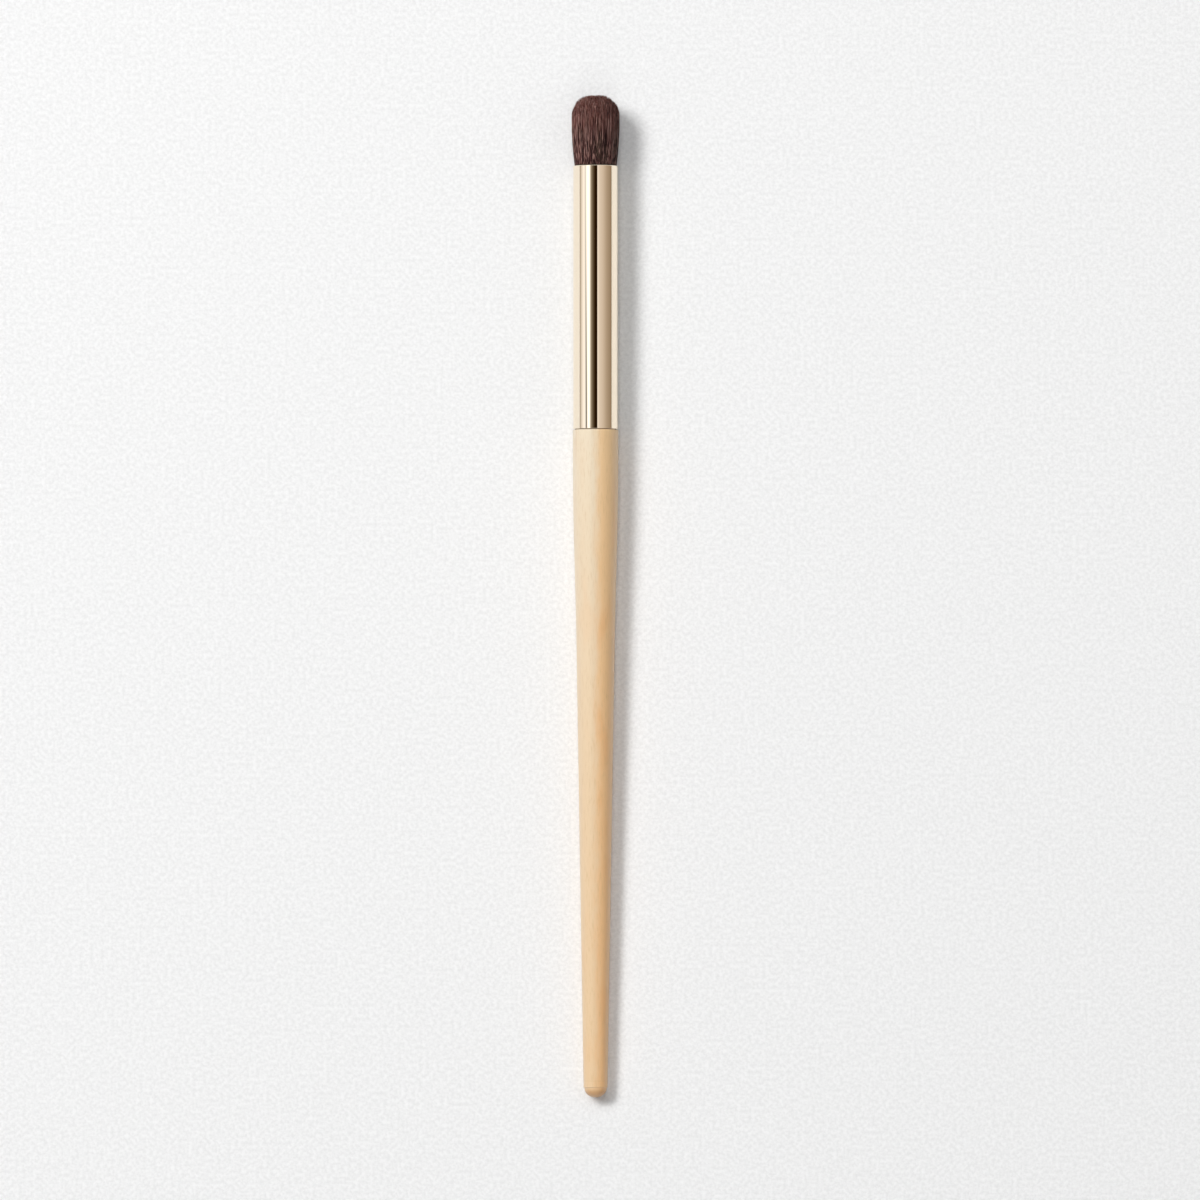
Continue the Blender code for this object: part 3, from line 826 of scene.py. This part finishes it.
def grow_filaments(settings, plans):
    """Thin three-sided filaments: each root face is drawn out, station by station, up to its tip."""
    shape = bmesh.new()
    along_layer = shape.verts.layers.float.new("along")
    shade_layer = shape.verts.layers.float.new("shade")
    plan_layer = shape.faces.layers.int.new("plan")
    bmesh.ops.create_circle(shape, cap_ends=True, segments=FILAMENT_SIDES, radius=settings.width / 2)
    while len(shape.faces) < len(plans):
        bmesh.ops.duplicate(shape, geom=shape.faces[: len(plans) - len(shape.faces)])
    for index, face in enumerate(shape.faces):
        face[plan_layer] = index
    ends = shape.faces[:]
    for along in STATION_SHARES:
        if along > 0:
            ends = bmesh.ops.extrude_discrete_faces(shape, faces=ends)["faces"]
        reach = filament_width(settings, along) / 2
        for face in ends:
            plan = plans[face[plan_layer]]
            middle = filament_middle(settings, plan, along)
            for corner, vertex in enumerate(face.verts):
                turn = plan[-1] + math.tau * corner / FILAMENT_SIDES
                vertex.co = middle + Vector((math.cos(turn) * reach, math.sin(turn) * reach, 0))
                vertex[along_layer] = along
                vertex[shade_layer] = plan[-2]
    shape.faces.layers.int.remove(plan_layer)
    open_edges = [edge for edge in shape.edges if edge.is_boundary]
    bmesh.ops.holes_fill(shape, edges=open_edges, sides=FILAMENT_SIDES)
    bmesh.ops.recalc_face_normals(shape, faces=shape.faces)
    return shape


def root_outline(settings):
    """The glued bundle under the filaments, with the waist that its binding lies in."""
    top = -settings.root_depth
    waist = -settings.waist_top
    low = waist - settings.waist_slope - settings.waist_length
    return [
        (0, top),
        (settings.bundle_radius, top),
        (settings.bundle_radius, waist),
        (settings.waist_radius, waist - settings.waist_slope),
        (settings.waist_radius, low),
        (settings.end_radius, low - settings.waist_slope),
        (settings.end_radius, BUNDLE_END),
        (0, BUNDLE_END),
    ]


class BLENDINGBRUSH_OT_make_tuft(bpy.types.Operator):
    """Grow the tuft's thousands of filaments from their glued bundle"""

    bl_idname = "blendingbrush.make_tuft"
    bl_label = "Make Tuft"

    def execute(self, context):
        settings = context.scene.blending_brush.tuft
        scatter = random.Random(SCATTER_SEED)
        material = filament_material(settings)
        plans = plan_filaments(settings, scatter)
        for part in range(settings.parts):
            shape = grow_filaments(settings, plans[part :: settings.parts])
            add_piece(f"tuft_filaments_{part + 1}", shape, material, ["bristle_tuft"])
        bundle = turned(root_outline(settings), settings.bundle_sides)
        add_piece("tuft_roots", bundle, material, ["bristle_tuft"])
        return {"FINISHED"}


class BLENDINGBRUSH_OT_finish_hidden(bpy.types.Operator):
    """Give the plug, the binding and the glue inside the ferrule their finish"""

    bl_idname = "blendingbrush.finish_hidden"
    bl_label = "Finish Hidden Pieces"

    def execute(self, context):
        settings = context.scene.blending_brush.hidden
        finishes = {
            "root_plug": resin_material,
            "root_binding": thread_material,
            "tenon_glue": glue_material,
        }
        for node, finish in finishes.items():
            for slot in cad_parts[node].material_slots:
                slot.material = finish(settings)
        return {"FINISHED"}


def add_paper(settings):
    """One sheet of paper just under the brush."""
    low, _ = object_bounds()
    sheet = bmesh.new()
    bmesh.ops.create_grid(sheet, x_segments=1, y_segments=1, size=settings.paper_size / 2)
    mesh = bpy.data.meshes.new("paper")
    sheet.to_mesh(mesh)
    sheet.free()
    mesh.materials.append(paper_material(settings))
    paper = bpy.data.objects.new("paper", mesh)
    paper.location.z = low.z
    bpy.context.scene.collection.objects.link(paper)
    paper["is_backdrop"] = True


def add_softbox(settings, name, direction, spread, light_share):
    """A softbox that faces the brush and gives the paper there this share of a full light."""
    distance = settings.lamp_distance
    width, height = (2 * distance * math.tan(turn / 2) for turn in spread)
    brightness = light_share * math.pi / (width * height * direction.z / distance**2)
    lamp = bpy.data.lights.new(name, "AREA")
    lamp.shape = "RECTANGLE"
    lamp.size, lamp.size_y = width, height
    lamp.energy = brightness * math.pi * width * height
    softbox = bpy.data.objects.new(name, lamp)
    softbox.location = direction * distance
    softbox.rotation_euler = direction.to_track_quat("Z", "X").to_euler()
    softbox.visible_camera = False
    softbox.visible_glossy = False
    bpy.context.scene.collection.objects.link(softbox)


# What the light tent shows at an angle in degrees from straight up, negative to the left: a dim horizon,
# a bright side, a white strip that fades to the dark opening for the lens, and a warm side that fades out.
TENT_BANDS = (
    (-90, (0.47, 0.43, 0.38)),
    (-83, (0.47, 0.43, 0.38)),
    (-76, (0.80, 0.76, 0.73)),
    (-64, (1.05, 1.03, 1.03)),
    (-54, (1.05, 1.05, 1.08)),
    (-49, (1.40, 1.40, 1.40)),
    (-31.9, (1.40, 1.40, 1.40)),
    (-25.9, (0.55, 0.50, 0.44)),
    (-20.9, (0.27, 0.23, 0.18)),
    (-15.9, (0.165, 0.13, 0.095)),
    (-9.9, (0.085, 0.058, 0.034)),
    (-2.9, (0.020, 0.008, 0.001)),
    (8.1, (0.020, 0.008, 0.001)),
    (9.6, (0.86, 0.79, 0.75)),
    (14.1, (0.86, 0.79, 0.75)),
    (19.1, (0.73, 0.66, 0.61)),
    (36, (0.65, 0.565, 0.495)),
    (58, (0.445, 0.362, 0.285)),
    (83, (0.31, 0.24, 0.175)),
    (90, (0.30, 0.23, 0.165)),
)
TENT_WHITE = 1.4  # the brightest band, where 1 is white
TENT_STEPS = 60


def tent_material(settings):
    """The bands of the light tent, with a bar that darkens from the tuft's end to the handle's."""
    material, graph = new_material("light_tent")
    place = graph.lying()
    across, along, up = (graph.coordinate(place, axis) for axis in "XYZ")
    turn = across.math("ARCTAN2", across, up)
    stops = []
    for degrees, tone in TENT_BANDS:
        stops.append(((degrees + 90) / 180, [channel / TENT_WHITE for channel in tone]))
    bands = graph.node("ShaderNodeValToRGB", {"stops": stops}, {"Fac": turn * (1 / math.pi) + 0.5})
    ahead = graph.step(along, *settings.tent_bar_span)
    first, last = settings.tent_bar_angles
    away = abs(turn - (first + ahead * (last - first)))
    bar = graph.step(away, settings.tent_bar_width / 2, 0.0)
    least, most = settings.tent_bar_depth
    glow = graph.blend(bar * (least + ahead * (most - least)), bands, settings.tent_bar_tone)
    bounce = graph.node("ShaderNodeLightPath", output="Diffuse Depth")
    glow = graph.blend(graph.step(bounce, 0.0, 1.0), glow, settings.room)
    shine = graph.node("ShaderNodeEmission", inputs={"Color": glow, "Strength": TENT_WHITE})
    graph.node("ShaderNodeOutputMaterial", inputs={"Surface": shine})
    material.cycles.emission_sampling = "NONE"
    return material


def add_tent(settings):
    """An arched light tent along the brush. Only the gloss of the brush shows it, and it casts no shadow."""
    shape = bmesh.new()
    foot, half = -settings.tent_radius, settings.tent_length / 2
    ends = [shape.verts.new((foot, along, 0)) for along in (-half, half)]
    edge = shape.edges.new(ends)
    bmesh.ops.spin(shape, geom=[*ends, edge], axis=(0, 1, 0), angle=math.pi, steps=TENT_STEPS)
    mesh = bpy.data.meshes.new("light_tent")
    shape.to_mesh(mesh)
    shape.free()
    mesh.materials.append(tent_material(settings))
    tent = bpy.data.objects.new("light_tent", mesh)
    tent.visible_camera = False
    tent.visible_diffuse = False
    tent.visible_shadow = False
    bpy.context.scene.collection.objects.link(tent)
    tent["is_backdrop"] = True


def add_light(settings):
    """A key softbox that casts the shadow, one at each end, a fill, a tent for the gloss, and a pale room."""
    key_direction = Vector(settings.key_direction).normalized()
    add_softbox(settings, "key_softbox", key_direction, settings.key_spread, settings.key_share)
    for name, side, light_share in zip(("tuft_softbox", "butt_softbox"), (1, -1), settings.end_shares):
        direction = Vector((0, side * math.cos(settings.end_rise), math.sin(settings.end_rise)))
        add_softbox(settings, name, direction, settings.end_spread, light_share)
    fill_direction = Vector((math.cos(settings.fill_rise), 0, math.sin(settings.fill_rise)))
    add_softbox(settings, "fill_softbox", fill_direction, settings.fill_spread, settings.fill_share)
    add_tent(settings)
    world = bpy.data.worlds.new("room")
    world.use_nodes = True
    graph = Graph(world.node_tree)
    outputs = ("Is Camera Ray", "Is Glossy Ray", "Is Transmission Ray", "Diffuse Depth")
    direct, glossy, clear, bounce = (graph.node("ShaderNodeLightPath", output=output) for output in outputs)
    seen = graph.step(direct + glossy + clear - bounce, 0.0, 1.0)
    tone = graph.blend(seen, settings.room, settings.backdrop)
    glow = graph.node("ShaderNodeBackground", inputs={"Color": tone})
    graph.node("ShaderNodeOutputWorld", inputs={"Surface": glow})
    bpy.context.scene.world = world


CLIP_REACH = 10  # how far the camera sees, of its distance


def add_camera(settings):
    """Almost straight down on the brush, as in the photograph."""
    lens = bpy.data.cameras.new("camera")
    lens.lens = lens.sensor_width * settings.camera_distance / settings.view_width
    lens.clip_end = CLIP_REACH * settings.camera_distance
    camera = bpy.data.objects.new("camera", lens)
    aim = Matrix.Translation(sum(solid_box, Vector()) / 2 + Vector((*settings.camera_offset, 0)))
    lean = Matrix.Rotation(settings.camera_lean, 4, "X")
    camera.matrix_world = aim @ lean @ Matrix.Translation((0, 0, settings.camera_distance))
    bpy.context.scene.collection.objects.link(camera)
    bpy.context.scene.camera = camera


class BLENDINGBRUSH_OT_set_stage(bpy.types.Operator):
    """Lay the paper, place the light and the camera, and show plain colours"""

    bl_idname = "blendingbrush.set_stage"
    bl_label = "Set Stage"

    def execute(self, context):
        settings = context.scene.blending_brush.stage
        add_paper(settings)
        add_light(settings)
        add_camera(settings)
        context.scene.view_settings.view_transform = "Standard"
        return {"FINISHED"}


class BLENDINGBRUSH_PT_panel(bpy.types.Panel):
    """Lists the brush's pieces in the order in which they are made"""

    bl_idname = "BLENDINGBRUSH_PT_panel"
    bl_label = "Blending Brush"
    bl_space_type = "VIEW_3D"
    bl_region_type = "UI"
    bl_category = "Brush"

    def draw(self, context):
        settings = context.scene.blending_brush
        for operator, group in STEPS:
            box = self.layout.box()
            box.operator(operator.bl_idname)
            values = getattr(settings, group)
            for name in values.bl_rna.properties.keys():
                if name not in ("rna_type", "name"):
                    box.prop(values, name)


STEPS = (
    (BLENDINGBRUSH_OT_make_handle, "handle"),
    (BLENDINGBRUSH_OT_make_ferrule, "ferrule"),
    (BLENDINGBRUSH_OT_make_tuft, "tuft"),
    (BLENDINGBRUSH_OT_finish_hidden, "hidden"),
    (BLENDINGBRUSH_OT_set_stage, "stage"),
)
CLASSES = (
    HandleSettings,
    FerruleSettings,
    TuftSettings,
    HiddenSettings,
    StageSettings,
    BrushSettings,
    *(operator for operator, _ in STEPS),
    BLENDINGBRUSH_PT_panel,
)


def register():
    for kind in CLASSES:
        bpy.utils.register_class(kind)
    bpy.types.Scene.blending_brush = PointerProperty(type=BrushSettings)


def unregister():
    del bpy.types.Scene.blending_brush
    for kind in reversed(CLASSES):
        bpy.utils.unregister_class(kind)


def main():
    register()
    bpy.ops.blendingbrush.make_handle()
    bpy.ops.blendingbrush.make_ferrule()
    bpy.ops.blendingbrush.make_tuft()
    bpy.ops.blendingbrush.finish_hidden()
    bpy.ops.blendingbrush.set_stage()


if __name__ == "__main__":
    main()
